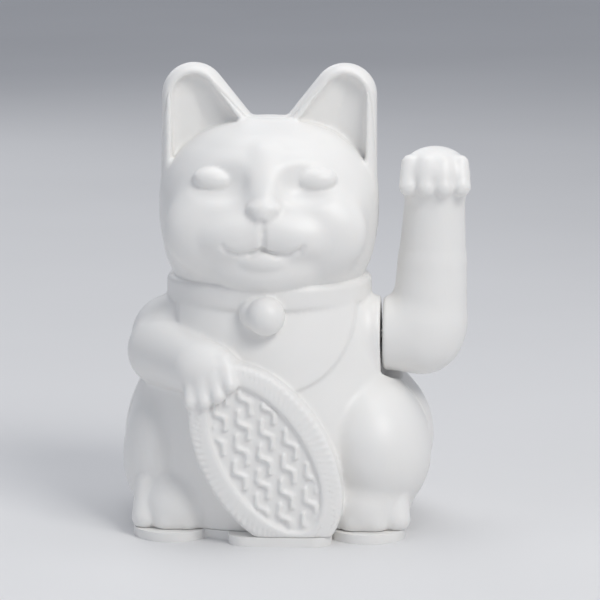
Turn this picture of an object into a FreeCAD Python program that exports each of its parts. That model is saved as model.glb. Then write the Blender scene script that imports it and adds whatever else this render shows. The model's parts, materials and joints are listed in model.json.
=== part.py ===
"""Beckoning cat figurine with a battery-driven waving arm.

Millimetres. +Z is up, the cat faces -Y and its waving arm is on the +X side.
The origin is the middle of the base's underside, on the surface the cat stands on.
Each separate piece is written as its own STEP file in parts/.
"""
import FreeCAD, Part
import math
import os

V = FreeCAD.Vector

# ---- Body ----
BODY_WALL = 2.0
BODY_FLOOR = 3.0        # height of the shells' lower edge, on top of the base plate
SEAM_Y = -4.0           # the plane where the front and rear shells meet
TRUNK_Y = 1.0           # middle of the trunk, front to back
TRUNK_HALF_WIDTH = 44.0
TRUNK_HALF_DEPTH = 39.5
# (height, share of the half width): belly, waist, shoulders and neck
# (height, share of the half width, share of the half depth, middle): belly to neck
TRUNK_PROFILE = [
    (0.0, 0.92, 0.92, TRUNK_Y),
    (14.0, 0.98, 0.98, TRUNK_Y),
    (28.0, 1.0, 1.0, TRUNK_Y),
    (45.0, 0.945, 0.945, TRUNK_Y),
    (62.0, 0.84, 0.84, TRUNK_Y),
    (72.0, 0.765, 0.765, TRUNK_Y - 0.5),
    (79.0, 0.70, 0.70, TRUNK_Y - 1.0),
]
COLLAR_Z = 78.2         # middle of the collar
COLLAR_HALF_HEIGHT = 4.0
COLLAR_HALF_WIDTH = 34.4
COLLAR_HALF_DEPTH = 31.5
COLLAR_Y = -0.5
BELL_RADIUS = 6.2
BELL_Z = 71.5

# ---- Head ----
HEAD_Y = -1.5
HEAD_HALF_WIDTH = 35.8
HEAD_HALF_DEPTH = 31.0
HEAD_TOP_Z = 132.5
CHEEK_Z = 103.0
# (height, share of the half width, share of the half depth): jaw, cheeks, temples and crown
HEAD_PROFILE = [
    (86.0, 0.935, 0.935),
    (CHEEK_Z, 1.0, 1.0),
    (115.0, 0.95, 0.95),
    (124.0, 0.77, 0.77),
    (130.0, 0.45, 0.45),
    (HEAD_TOP_Z, 0.12, 0.12),
]
EAR_TIP_X = 22.5
EAR_TIP_Z = 150.0
EAR_OUTER_X = 34.6
EAR_INNER_X = 4.0
EAR_BASE_Z = 106.0
EAR_SHOULDER_Z = 128.0  # where the ear's outer edge starts to lean in
EAR_TIP_RADIUS = 4.5
EAR_FRONT_Y = -9.0
EAR_BACK_Y = 4.0
EAR_SCOOP_DEPTH = 4.5
EYE_X = 16.3
EYE_Z = 115.5
NOSE_Z = 105.5
MUZZLE_Z = 96.5

# ---- Haunches, feet and resting arm ----
HAUNCH_Z = 27.0
HAUNCH_Y = 6.0
# side: -1 is the cat's right, +1 its left. (side, middle x, radii)
HAUNCHES = [(-1, -26.5, (21.0, 30.0, 24.5)), (1, 29.5, (24.0, 30.0, 25.0))]
FOOT_RADII = (14.0, 16.0, 11.5)
FOOT_Y = -25.0
FOOT_Z = 9.0
FOOT_X = {-1: -30.0, 1: 33.0}
SHOULDER_CENTRE = V(-33.5, -3.0, 55.0)
SHOULDER_RADII = (11.5, 15.0, 15.0)
PAW_CENTRE = V(-20.5, -36.0, 51.0)
PAW_RADIUS = 9.0
FOREARM_START = V(-35.0, -12.0, 52.0)
FOREARM_START_RADIUS = 11.0
FINGER_RADIUS = 3.3
FINGER_TIPS = [V(-24.0, -43.0, 42.5), V(-18.8, -44.5, 44.8), V(-14.0, -45.0, 48.6), V(-11.2, -44.0, 53.2)]

# ---- Coin ----
COIN_CENTRE = V(-0.5, 0.0, 28.3)
COIN_HALF_LENGTH = 33.0
COIN_HALF_WIDTH = 22.5
COIN_LEAN = 31.0        # degrees from upright, leaning to the cat's left at the foot
COIN_FACE_Y = -43.5
COIN_RIM = 7.5
COIN_RECESS = 1.3
COIN_ROOT_Y = -24.0     # how far back the coin's body runs into the belly
COIN_TOE_X0 = -11.0      # the part of the base plate under the coin
COIN_TOE_X1 = 22.0
COIN_TOE_RADIUS = 6.0

# ---- Swing axis and arm ----
AXIS_Y = SEAM_Y
AXIS_Z = 62.0
SHOULDER_FACE_X = 36.6  # flat round pad on the body that the arm turns against
SHOULDER_FACE_RADIUS = 14.0
ARM_GAP = 0.6
ARM_RELIEF = 1.4        # room between the turning elbow and the haunch below it
ARM_WALL = 1.6
ELBOW_X = 54.0
ELBOW_RADIUS = 13.0
UPPER_ARM_RADIUS = 12.4
WRIST_X = 56.0
WRIST_Z = 109.0
WRIST_RADIUS = 8.2
ARM_PAW_Z = 118.0
ARM_PAW_Y = -3.0        # how far forward of the axis the paw's middle is
ARM_PAW_RADII = (11.7, 11.5, 9.2)
AXLE_RADIUS = 1.5
AXLE_HOLE_RADIUS = 4.0  # opening in the body's side
HUB_RADIUS = 5.0
HUB_LENGTH = 14.0

# ---- Base ----
BASE_THICKNESS = BODY_FLOOR
BASE_LIP = 0.5          # how far the base plate stands out under the body
BASE_BOSS_TOP = 6.0
DOOR_HALF_WIDTH = 28.0
DOOR_TONGUE = 1.5
DOOR_GAP = 0.3
DOOR_BOTTOM = 0.3
DOOR_THICKNESS = 1.5
POST_RADIUS = 3.0
POST_TOP = 10.0
POST_WEB = 1.6          # thickness of the web that ties each post to the wall
POST_WEB_REACH = 22.0
POSTS = [(-28.5, -24.5), (28.5, -24.5), (-34.0, 14.0), (34.0, 14.0)]
SCREW_RADIUS = 1.2
SCREW_HEAD_RADIUS = 2.4
SCREW_HEAD_HEIGHT = 1.5

# ---- Battery ----
CELL_RADIUS = 7.25
CELL_LENGTH = 50.5      # with the nub
CELL_NUB = 1.0
CELL_NUB_RADIUS = 2.75
CELL_Y = 17.0
CELL_SIDE_GAP = 0.25
TRAY_WALL = 1.5
CONTACT_THICKNESS = 0.5
CONTACT_HALF_WIDTH = 5.0
TAB_HALF_WIDTH = 2.0
TAB_RISE = 3.0          # how far the solder tabs stand above the tray
SPRING_LENGTH = 3.1
SPRING_WIRE_RADIUS = 0.4
SPRING_RADIUS = 4.2
SPRING_TURNS = 3
SPRING_WELD = 0.25      # how far the last turn sinks into its plate

# ---- Mechanism ----
PENDULUM_X = 16.0
FRAME_HALF_SPAN = 10.0  # from the pendulum's middle to the inner face of each upright
FRAME_THICKNESS = 3.0
FRAME_PLATE_THICKNESS = 2.0
FRAME_HALF_FOOT = 9.0
FRAME_HALF_SHOULDER = 12.5
FRAME_LEFT_X = -6.0
FRAME_RIGHT_X = 31.0
FRAME_FRONT_Y = -21.5
FRAME_REAR_Y = 5.0
FRAME_SCREWS = [(-2.5, -17.0), (-2.5, 1.0), (28.0, -16.5)]
BUSH_RADIUS = 3.0
BUSH_FLANGE_RADIUS = 4.2
BUSH_FLANGE = 0.8
AXLE_CLEARANCE = 0.05   # radial, in the bushes
CLIP_RADIUS = 3.4
CLIP_THICKNESS = 0.6
CLIP_GAP = 0.3
STOP_PIN_RADIUS = 1.5
STOP_PIN_ARM = 12.0     # how far below the axis a stop pin meets the lever
STOP_PIN_GAP = 0.3
SWING_ANGLE = 20.0      # degrees each way
LEVER_HUB_RADIUS = 4.5
LEVER_HUB_LENGTH = 6.0
LEVER_THICKNESS = 3.0
LEVER_WIDTH = 9.0
PENDULUM_LENGTH = 41.6  # from the axis to the magnet's lower face
MAGNET_RADIUS = 7.0
MAGNET_HEIGHT = 5.0
CUP_WALL = 1.5
CUP_LIP = 0.5           # how far the magnet stands out of its cup
COUNTERWEIGHT_SIZE = V(14.0, 16.0, 10.0)
COUNTERWEIGHT_ARM = 27.0
COUNTERWEIGHT_SHIFT = 0.0
MAGNET_GAP = 0.5
COIL_RADIUS = 9.5
COIL_CORE_RADIUS = 4.0
COIL_BORE_RADIUS = 2.0
COIL_FLANGE = 0.9

# ---- Circuit board ----
BOARD_THICKNESS = 1.6
BOARD_STANDOFF = 2.6
BOARD_EDGE_GAP = 0.8
BOARD_FRONT_Y = -27.0
BOARD_REAR_Y = 4.0
BOARD_SCREWS = [(12.5, -25.2), (19.5, -25.2)]
BOARD_SCREW_RADIUS = 0.8
BOARD_SCREW_HEAD_RADIUS = 1.7
BOARD_SCREW_HEAD = 1.1
BOARD_POST_RADIUS = 2.3
CAPACITOR_RADIUS = 2.5
CAPACITOR_HEIGHT = 6.0
TRANSISTOR_RADIUS = 2.3
LEG_HEIGHT = 1.6
LEG_RADIUS = 0.25
RESISTOR_RADIUS = 0.9
RESISTOR_LENGTH = 4.6
LEAD_RADIUS = 0.6

# ---- Worked out from the above ----
DOOR_TOP = DOOR_BOTTOM + DOOR_THICKNESS
CELL_Z = DOOR_TOP + DOOR_GAP + CELL_RADIUS
TRAY_HALF_LENGTH = (CELL_LENGTH + SPRING_LENGTH) / 2 + CONTACT_THICKNESS
TRAY_HALF_WIDTH = CELL_RADIUS + CELL_SIDE_GAP
TRAY_ROOF_Z = CELL_Z + CELL_RADIUS + CELL_SIDE_GAP
TRAY_TOP_Z = TRAY_ROOF_Z + TRAY_WALL
CELL_END_X = -TRAY_HALF_LENGTH + CONTACT_THICKNESS
ARM_FACE_X = SHOULDER_FACE_X + ARM_GAP
UPRIGHT_LEFT_X = PENDULUM_X - FRAME_HALF_SPAN - FRAME_THICKNESS
UPRIGHT_RIGHT_X = PENDULUM_X + FRAME_HALF_SPAN
FRAME_PLATE_TOP = BASE_BOSS_TOP + FRAME_PLATE_THICKNESS
FRAME_TOP_Z = AXIS_Z + 6.0
BOARD_Z = FRAME_PLATE_TOP + BOARD_STANDOFF
BOARD_TOP_Z = BOARD_Z + BOARD_THICKNESS
CUP_RADIUS = MAGNET_RADIUS + CUP_WALL
MAGNET_Z = AXIS_Z - PENDULUM_LENGTH
CUP_TOP_Z = MAGNET_Z + MAGNET_HEIGHT + CUP_WALL
COIL_TOP_Z = AXIS_Z - math.hypot(PENDULUM_LENGTH, CUP_RADIUS) - MAGNET_GAP
AXLE_START_X = UPRIGHT_LEFT_X - BUSH_FLANGE - CLIP_GAP - CLIP_THICKNESS - 1.0
AXLE_END_X = ARM_FACE_X + HUB_LENGTH - 2.0
AXIS_POINT = V(0.0, AXIS_Y, AXIS_Z)
FAR = 200.0


# ---- Shape helpers ----
def box(x0, x1, y0, y1, z0, z1):
    return Part.makeBox(x1 - x0, y1 - y0, z1 - z0, V(x0, y0, z0))


def rod_x(x0, x1, radius, y=AXIS_Y, z=AXIS_Z):
    """A round bar along X, on the swing axis unless told otherwise."""
    return Part.makeCylinder(radius, x1 - x0, V(x0, y, z), V(1, 0, 0))


def rod_z(x, y, z0, z1, radius):
    return Part.makeCylinder(radius, z1 - z0, V(x, y, z0))


def ellipsoid(centre, radii):
    stretch = FreeCAD.Matrix()
    stretch.scale(V(*radii))
    shape = Part.makeSphere(1.0).transformGeometry(stretch)
    shape.translate(centre)
    return shape


def capsule(start, end, radius_start, radius_end):
    """A tapered round bar with a ball at each end, turned in one piece."""
    along = end - start
    length = along.Length
    lean = math.asin((radius_start - radius_end) / length)
    rise, reach = math.sin(lean), math.cos(lean)
    low = V(radius_start * reach, 0, radius_start * rise)
    high = V(radius_end * reach, 0, length + radius_end * rise)
    low_angle = (lean - math.pi / 2) / 2
    low_middle = V(radius_start * math.cos(low_angle), 0, radius_start * math.sin(low_angle))
    high_turn = (lean + math.pi / 2) / 2
    high_middle = V(radius_end * math.cos(high_turn), 0, length + radius_end * math.sin(high_turn))
    bottom, top = V(0, 0, -radius_start), V(0, 0, length + radius_end)
    edges = [
        Part.Arc(bottom, low_middle, low).toShape(),
        Part.makeLine(low, high),
        Part.Arc(high, high_middle, top).toShape(),
        Part.makeLine(top, bottom),
    ]
    solid = Part.Face(Part.Wire(edges)).revolve(V(0, 0, 0), V(0, 0, 1), 360)
    solid.Placement = FreeCAD.Placement(start, FreeCAD.Rotation(V(0, 0, 1), along))
    return solid


def join(shapes):
    shapes = list(shapes)
    result = shapes[0]
    for shape in shapes[1:]:
        result = result.fuse(shape)
    return result


def oval_wire(half_x, half_y, y, z):
    stretch = FreeCAD.Matrix()
    stretch.scale(V(half_x, half_y, 1))
    wire = Part.Wire(Part.makeCircle(1.0)).transformGeometry(stretch)
    wire.translate(V(0, y, z))
    return Part.Wire(wire.Edges)


def oval_plate(half_x, half_y, x, y, z0, z1):
    """An upright elliptical plate."""
    stretch = FreeCAD.Matrix()
    stretch.scale(V(half_x, half_y, 1))
    plate = Part.makeCylinder(1.0, z1 - z0).transformGeometry(stretch)
    plate.translate(V(x, y, z0))
    return plate


def export(name, shapes):
    """Writes one node: a single solid, or a group of separate solids."""
    solids = [solid for shape in shapes for solid in shape.Solids]
    for solid in solids:
        if not solid.isValid():
            raise ValueError(name + " has an invalid solid")
    shape = solids[0] if len(solids) == 1 else Part.makeCompound(solids)
    shape.exportStep(os.path.join("parts", name + ".step"))
    print(f"{name}: {len(solids)} solid(s), {shape.Volume:.0f} mm3")


# ---- Body shapes, each made inset by a wall so that the same call makes the cavity ----
def trunk_radius(z):
    """Half width of the trunk at a height, between the profile's points."""
    for (z0, share0, _, _), (z1, share1, _, _) in zip(TRUNK_PROFILE, TRUNK_PROFILE[1:]):
        if z <= z1:
            break
    share = share0 + (share1 - share0) * (z - z0) / (z1 - z0)
    return TRUNK_HALF_WIDTH * share


def core(inset):
    """Trunk and head in one run of oval sections, from the base to the crown."""
    wires = []
    for z, wide, deep, y in TRUNK_PROFILE:
        wires.append(oval_wire(TRUNK_HALF_WIDTH * wide - inset, TRUNK_HALF_DEPTH * deep - inset, y, z))
    for z, wide, deep in HEAD_PROFILE:
        drop = inset if z > CHEEK_Z else 0
        across = HEAD_HALF_WIDTH * wide - inset
        fore_and_aft = HEAD_HALF_DEPTH * deep - inset
        wires.append(oval_wire(across, fore_and_aft, HEAD_Y, z - drop))
    return Part.makeLoft(wires, True, False)


def ear(side, inset):
    """A thick rounded triangle with a hollow face."""
    corners = [
        V(side * EAR_INNER_X, 0, EAR_BASE_Z),
        V(side * EAR_INNER_X, 0, HEAD_TOP_Z - 1),
        V(side * EAR_TIP_X, 0, EAR_TIP_Z + EAR_TIP_RADIUS * 0.45),
        V(side * EAR_OUTER_X, 0, EAR_SHOULDER_Z),
        V(side * EAR_OUTER_X, 0, EAR_BASE_Z),
    ]
    edges = [Part.makeLine(a, b) for a, b in zip(corners, corners[1:] + corners[:1])]
    outline = Part.Wire(edges)
    if inset:
        outline = outline.makeOffset2D(-inset)
    front = EAR_FRONT_Y + (EAR_SCOOP_DEPTH + inset if inset else 0)
    depth = EAR_BACK_Y - inset - front
    face = Part.Face(outline)
    slab = face.extrude(V(0, depth, 0))
    slab.translate(V(0, front, 0))
    along_y = [e for e in slab.Edges if abs(e.tangentAt(e.FirstParameter).y) > 0.99]
    uprights = [e for e in along_y if e.CenterOfMass.z > EAR_SHOULDER_Z - 5]
    high = [e for e in uprights if e.CenterOfMass.z > EAR_TIP_Z - 10]
    tip = [e for e in high if abs(abs(e.CenterOfMass.x) - EAR_TIP_X) < 6]
    slab = slab.makeFillet(EAR_TIP_RADIUS - inset * 0.5, tip)
    if not inset:
        scoop_x = side * (EAR_INNER_X + EAR_OUTER_X) / 2
        scoop = ellipsoid(V(scoop_x, EAR_FRONT_Y, EAR_SHOULDER_Z - 2), (10.0, EAR_SCOOP_DEPTH, 15.0))
        slab = slab.cut(scoop)
    return slab


def haunch(side, middle_x, radii, inset):
    centre = V(middle_x, HAUNCH_Y, HAUNCH_Z)
    return ellipsoid(centre, [r - inset for r in radii])


def foot(side, inset):
    centre = V(FOOT_X[side], FOOT_Y, FOOT_Z)
    return ellipsoid(centre, [r - inset for r in FOOT_RADII])


def resting_arm(inset):
    shoulder = ellipsoid(SHOULDER_CENTRE, [r - inset for r in SHOULDER_RADII])
    forearm = capsule(FOREARM_START, PAW_CENTRE, FOREARM_START_RADIUS - inset, PAW_RADIUS - inset)
    return [shoulder, forearm]


def fingers():
    knuckle = PAW_CENTRE + V(1.5, -2.5, 2.5)
    return [capsule(knuckle, tip, FINGER_RADIUS, FINGER_RADIUS) for tip in FINGER_TIPS]


def coin_oval(half_length, half_width, y0, y1):
    """An elliptical disc facing the front, with its long axis leaning."""
    stretch = FreeCAD.Matrix()
    stretch.scale(V(half_width, half_length, 1))
    disc = Part.makeCylinder(1.0, y1 - y0).transformGeometry(stretch)
    disc.rotate(V(0, 0, 0), V(1, 0, 0), -90)
    disc.rotate(V(0, 0, 0), V(0, 1, 0), -COIN_LEAN)
    disc.translate(V(COIN_CENTRE.x, y0, COIN_CENTRE.z))
    return disc


def coin(inset):
    if inset:
        front = COIN_FACE_Y + COIN_RECESS + inset
        return coin_oval(COIN_HALF_LENGTH - inset, COIN_HALF_WIDTH - inset, front, COIN_ROOT_Y)
    disc = coin_oval(COIN_HALF_LENGTH, COIN_HALF_WIDTH, COIN_FACE_Y, COIN_ROOT_Y)
    recess = coin_oval(
        COIN_HALF_LENGTH - COIN_RIM,
        COIN_HALF_WIDTH - COIN_RIM,
        COIN_FACE_Y - 1,
        COIN_FACE_Y + COIN_RECESS,
    )
    return disc.cut(recess)


def shoulder_pad():
    """The round pad that stands the body's side out to the arm."""
    return rod_x(SHOULDER_FACE_X - 14, SHOULDER_FACE_X, SHOULDER_FACE_RADIUS)


def collar():
    """A band round the neck with rounded edges."""
    half_y = COLLAR_HALF_DEPTH
    low, high = COLLAR_Z - COLLAR_HALF_HEIGHT, COLLAR_Z + COLLAR_HALF_HEIGHT
    return oval_plate(COLLAR_HALF_WIDTH, half_y, 0, COLLAR_Y, low, high)


def face_features():
    """Muzzle, nose with its bridge, and the two closed-form eyes."""
    front = HEAD_Y - HEAD_HALF_DEPTH
    muzzle = ellipsoid(V(0, front + 4.5, MUZZLE_Z), (13.5, 8.0, 8.5))
    nose = ellipsoid(V(0, front + 0.5, NOSE_Z), (5.0, 3.5, 3.5))
    bridge = capsule(V(0, front + 5.5, EYE_Z + 3), V(0, front + 2.0, NOSE_Z + 1), 3.6, 3.8)
    eyes = [ellipsoid(V(side * EYE_X, front + 7.0, EYE_Z), (7.0, 3.4, 4.2)) for side in (-1, 1)]
    return [muzzle, nose, bridge] + eyes


def cavities(front):
    """The hollows of one half, each its outer form inset by the wall."""
    sweep = rod_x(SHOULDER_FACE_X - BODY_WALL, SHOULDER_FACE_X + FAR, ELBOW_RADIUS + ARM_RELIEF + BODY_WALL)
    shapes = [core(BODY_WALL).cut(sweep)]
    for side, middle_x, radii in HAUNCHES:
        shapes.append(haunch(side, middle_x, radii, BODY_WALL).cut(sweep))
        shapes.append(foot(side, BODY_WALL) if front else ear(side, BODY_WALL))
    if front:
        shapes.append(coin(BODY_WALL))
        shapes.append(resting_arm(BODY_WALL)[1])
    return shapes


def body_form(front):
    """The outer form of one half, with room cut for the turning elbow."""
    sweep = rod_x(SHOULDER_FACE_X, SHOULDER_FACE_X + FAR, ELBOW_RADIUS + ARM_RELIEF)
    shapes = [core(0).cut(sweep)]
    for side, middle_x, radii in HAUNCHES:
        shapes.append(haunch(side, middle_x, radii, 0).cut(sweep))
        shapes.append(ear(side, 0))
        if front:
            shapes.append(foot(side, 0))
    shapes += [shoulder_pad()] + resting_arm(0)
    if front:
        shapes += [coin(0)] + face_features() + fingers()
    shapes.append(collar())
    return join(shapes)


def screw_post(x, y, form):
    """A post for a base screw, with a web out to the wall."""
    post = rod_z(x, y, BODY_FLOOR, POST_TOP, POST_RADIUS)
    web = box(0, POST_WEB_REACH, -POST_WEB / 2, POST_WEB / 2, BODY_FLOOR, POST_TOP)
    web.rotate(V(0, 0, 0), V(0, 0, 1), math.degrees(math.atan2(y, x)))
    web.translate(V(x, y, 0))
    return post.fuse(web).common(form)


def body_half(front):
    """One hollow half of the body, with its screw posts and its share of the axle hole."""
    low_y, high_y = (-FAR, SEAM_Y) if front else (SEAM_Y, FAR)
    shell = body_form(front).common(box(-FAR, FAR, low_y, high_y, BODY_FLOOR, FAR))
    places = [(x, y) for x, y in POSTS if low_y < y < high_y]
    posts = [screw_post(x, y, shell) for x, y in places]
    for cavity in cavities(front):
        shell = shell.cut(cavity)
    shell = join([shell] + posts)
    if front:
        bell = Part.makeSphere(BELL_RADIUS, V(0, COLLAR_Y - COLLAR_HALF_DEPTH - 0.5, BELL_Z))
        shell = shell.fuse(bell.cut(core(BODY_WALL)))
    for x, y in places:
        shell = shell.cut(rod_z(x, y, BODY_FLOOR - 1, POST_TOP - 1, SCREW_RADIUS))
    return shell.cut(rod_x(SHOULDER_FACE_X - 6, SHOULDER_FACE_X + 1, AXLE_HOLE_RADIUS))


# ---- Waving arm ----
def arm_form(inset):
    """The whole arm, inset by a wall for its cavity."""
    elbow = V(ELBOW_X, AXIS_Y, AXIS_Z)
    wrist = V(WRIST_X, AXIS_Y, WRIST_Z)
    paw = V(WRIST_X, AXIS_Y + ARM_PAW_Y, ARM_PAW_Z)
    upper = rod_x(ARM_FACE_X + inset, ELBOW_X, UPPER_ARM_RADIUS - inset)
    forearm = capsule(elbow, wrist, ELBOW_RADIUS - inset, WRIST_RADIUS - inset)
    return [upper, forearm, ellipsoid(paw, [r - inset for r in ARM_PAW_RADII])]


def arm_shells():
    socket_end = ARM_FACE_X + HUB_LENGTH
    socket = rod_x(ARM_FACE_X, socket_end, HUB_RADIUS + ARM_WALL)
    hollow = join(arm_form(0)).cut(join(arm_form(ARM_WALL))).fuse(socket)
    hollow = hollow.cut(rod_x(ARM_FACE_X - 1, socket_end, HUB_RADIUS))
    front = hollow.common(box(ARM_FACE_X - 1, FAR, -FAR, AXIS_Y, 0, FAR))
    rear = hollow.common(box(ARM_FACE_X - 1, FAR, AXIS_Y, FAR, 0, FAR))
    return front, rear


def arm_hub():
    """The plug in the arm's shoulder end that grips the axle."""
    hub = rod_x(ARM_FACE_X, ARM_FACE_X + HUB_LENGTH, HUB_RADIUS)
    return hub.cut(rod_x(ARM_FACE_X - 1, AXLE_END_X, AXLE_RADIUS))


# ---- Swing mechanism ----
def swing_axle():
    axle = rod_x(AXLE_START_X, AXLE_END_X, AXLE_RADIUS)
    ends = [edge for edge in axle.Edges if isinstance(edge.Curve, Part.Circle)]
    return axle.makeChamfer(0.3, ends)


def bearing_bushes():
    """Flanged bushes pressed into the uprights from outside."""
    bushes = []
    for face_x, outward in ((UPRIGHT_LEFT_X, -1), (UPRIGHT_RIGHT_X + FRAME_THICKNESS, 1)):
        inner_x = face_x - outward * FRAME_THICKNESS
        outer_x = face_x + outward * BUSH_FLANGE
        sleeve = rod_x(min(face_x, inner_x), max(face_x, inner_x), BUSH_RADIUS)
        flange = rod_x(min(face_x, outer_x), max(face_x, outer_x), BUSH_FLANGE_RADIUS)
        bore = rod_x(UPRIGHT_LEFT_X - FAR, UPRIGHT_RIGHT_X + FAR, AXLE_RADIUS + AXLE_CLEARANCE)
        bushes.append(sleeve.fuse(flange).cut(bore))
    return bushes


def retaining_clips():
    """Open spring clips on the axle, one outside each bush."""
    left = UPRIGHT_LEFT_X - BUSH_FLANGE - CLIP_GAP - CLIP_THICKNESS
    right = UPRIGHT_RIGHT_X + FRAME_THICKNESS + BUSH_FLANGE + CLIP_GAP
    clips = []
    for x in (left, right):
        clip = rod_x(x, x + CLIP_THICKNESS, CLIP_RADIUS).cut(rod_x(x - 1, x + 2, AXLE_RADIUS))
        mouth = box(x - 1, x + 2, AXIS_Y - 1, AXIS_Y + 1, AXIS_Z - FAR, AXIS_Z)
        clips.append(clip.cut(mouth))
    return clips


def stop_pin_places():
    """Where the two pins stand, so that the lever meets one at each end of the swing."""
    angle = math.radians(SWING_ANGLE)
    side = LEVER_WIDTH / 2 + STOP_PIN_RADIUS + STOP_PIN_GAP
    y = STOP_PIN_ARM * math.sin(angle) + side * math.cos(angle)
    z = AXIS_Z - STOP_PIN_ARM * math.cos(angle) + side * math.sin(angle)
    return [(AXIS_Y - y, z), (AXIS_Y + y, z)]


def stop_pins():
    x0, x1 = UPRIGHT_LEFT_X, UPRIGHT_RIGHT_X + FRAME_THICKNESS
    return [rod_x(x0, x1, STOP_PIN_RADIUS, y, z) for y, z in stop_pin_places()]


def upright(x0):
    outline = [
        V(x0, AXIS_Y - FRAME_HALF_FOOT, BASE_BOSS_TOP),
        V(x0, AXIS_Y + FRAME_HALF_FOOT, BASE_BOSS_TOP),
        V(x0, AXIS_Y + FRAME_HALF_SHOULDER, AXIS_Z - STOP_PIN_ARM),
        V(x0, AXIS_Y + FRAME_HALF_FOOT - 3, FRAME_TOP_Z),
        V(x0, AXIS_Y - FRAME_HALF_FOOT + 3, FRAME_TOP_Z),
        V(x0, AXIS_Y - FRAME_HALF_SHOULDER, AXIS_Z - STOP_PIN_ARM),
    ]
    plate = Part.Face(Part.makePolygon(outline + outline[:1])).extrude(V(FRAME_THICKNESS, 0, 0))
    window_z = (FRAME_PLATE_TOP + AXIS_Z - STOP_PIN_ARM) / 2 + 4
    window = rod_x(x0 - 1, x0 + FRAME_THICKNESS + 1, 5.5, AXIS_Y, window_z)
    return plate.cut(window)


def mechanism_frame():
    """Two uprights on one plate, with pads under the circuit board."""
    rear_edge = FRAME_REAR_Y
    plate = box(FRAME_LEFT_X, FRAME_RIGHT_X, FRAME_FRONT_Y, rear_edge, BASE_BOSS_TOP, FRAME_PLATE_TOP)
    tongue_x = [x for x, _ in BOARD_SCREWS]
    margin = BOARD_POST_RADIUS + 1
    tongue = box(
        min(tongue_x) - margin,
        max(tongue_x) + margin,
        BOARD_FRONT_Y - 0.5,
        FRAME_FRONT_Y,
        BASE_BOSS_TOP,
        FRAME_PLATE_TOP,
    )
    posts = [rod_z(x, y, FRAME_PLATE_TOP, BOARD_Z, BOARD_POST_RADIUS) for x, y in BOARD_SCREWS]
    ledge = box(PENDULUM_X - 6, PENDULUM_X + 6, BOARD_REAR_Y - 2, BOARD_REAR_Y, FRAME_PLATE_TOP, BOARD_Z)
    frame = join([plate, tongue, ledge, upright(UPRIGHT_LEFT_X), upright(UPRIGHT_RIGHT_X)] + posts)
    holes = [rod_x(UPRIGHT_LEFT_X - 1, UPRIGHT_RIGHT_X + FRAME_THICKNESS + 1, BUSH_RADIUS)]
    holes += stop_pins()
    holes += [rod_z(x, y, BASE_BOSS_TOP - 1, FRAME_PLATE_TOP + 1, SCREW_RADIUS) for x, y in FRAME_SCREWS]
    holes += [rod_z(x, y, BASE_BOSS_TOP - 1, BOARD_Z + 1, BOARD_SCREW_RADIUS) for x, y in BOARD_SCREWS]
    return frame.cut(join(holes))


def pendulum_lever():
    """Hub on the axle, blade, and a cup that holds the magnet."""
    hub_half = LEVER_HUB_LENGTH / 2
    hub = rod_x(PENDULUM_X - hub_half, PENDULUM_X + hub_half, LEVER_HUB_RADIUS)
    half = LEVER_THICKNESS / 2
    blade = box(
        PENDULUM_X - half,
        PENDULUM_X + half,
        AXIS_Y - LEVER_WIDTH / 2,
        AXIS_Y + LEVER_WIDTH / 2,
        CUP_TOP_Z - CUP_WALL,
        AXIS_Z,
    )
    cup = rod_z(PENDULUM_X, AXIS_Y, MAGNET_Z + CUP_LIP, CUP_TOP_Z, CUP_RADIUS)
    lever = join([hub, blade, cup])
    lever = lever.cut(rod_x(PENDULUM_X - FAR, PENDULUM_X + FAR, AXLE_RADIUS))
    return lever.cut(pendulum_magnet())


def pendulum_magnet():
    return rod_z(PENDULUM_X, AXIS_Y, MAGNET_Z, MAGNET_Z + MAGNET_HEIGHT, MAGNET_RADIUS)


def counterweight():
    """A steel block with a slot for the lever's blade."""
    size = COUNTERWEIGHT_SIZE
    middle_y = AXIS_Y + COUNTERWEIGHT_SHIFT
    z = AXIS_Z - COUNTERWEIGHT_ARM
    block = box(
        PENDULUM_X - size.x / 2,
        PENDULUM_X + size.x / 2,
        middle_y - size.y / 2,
        middle_y + size.y / 2,
        z - size.z / 2,
        z + size.z / 2,
    )
    block = block.makeChamfer(0.8, [e for e in block.Edges if abs(e.tangentAt(0).x) > 0.99])
    return block.cut(pendulum_lever())


def coil_bobbin():
    parts = [
        rod_z(PENDULUM_X, AXIS_Y, BOARD_TOP_Z, COIL_TOP_Z, COIL_CORE_RADIUS),
        rod_z(PENDULUM_X, AXIS_Y, BOARD_TOP_Z, BOARD_TOP_Z + COIL_FLANGE, COIL_RADIUS),
        rod_z(PENDULUM_X, AXIS_Y, COIL_TOP_Z - COIL_FLANGE, COIL_TOP_Z, COIL_RADIUS),
    ]
    bore = rod_z(PENDULUM_X, AXIS_Y, BOARD_TOP_Z - 1, COIL_TOP_Z + 1, COIL_BORE_RADIUS)
    return join(parts).cut(bore)


def coil_winding():
    low, high = BOARD_TOP_Z + COIL_FLANGE, COIL_TOP_Z - COIL_FLANGE
    winding = rod_z(PENDULUM_X, AXIS_Y, low, high, COIL_RADIUS - 0.7)
    return winding.cut(rod_z(PENDULUM_X, AXIS_Y, low - 1, high + 1, COIL_CORE_RADIUS))


# ---- Circuit board ----
def circuit_board():
    half = FRAME_HALF_SPAN - BOARD_EDGE_GAP
    board = box(PENDULUM_X - half, PENDULUM_X + half, BOARD_FRONT_Y, BOARD_REAR_Y, BOARD_Z, BOARD_TOP_Z)
    holes = [rod_z(x, y, BOARD_Z - 1, BOARD_TOP_Z + 1, BOARD_SCREW_RADIUS) for x, y in BOARD_SCREWS]
    return board.cut(join(holes))


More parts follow.
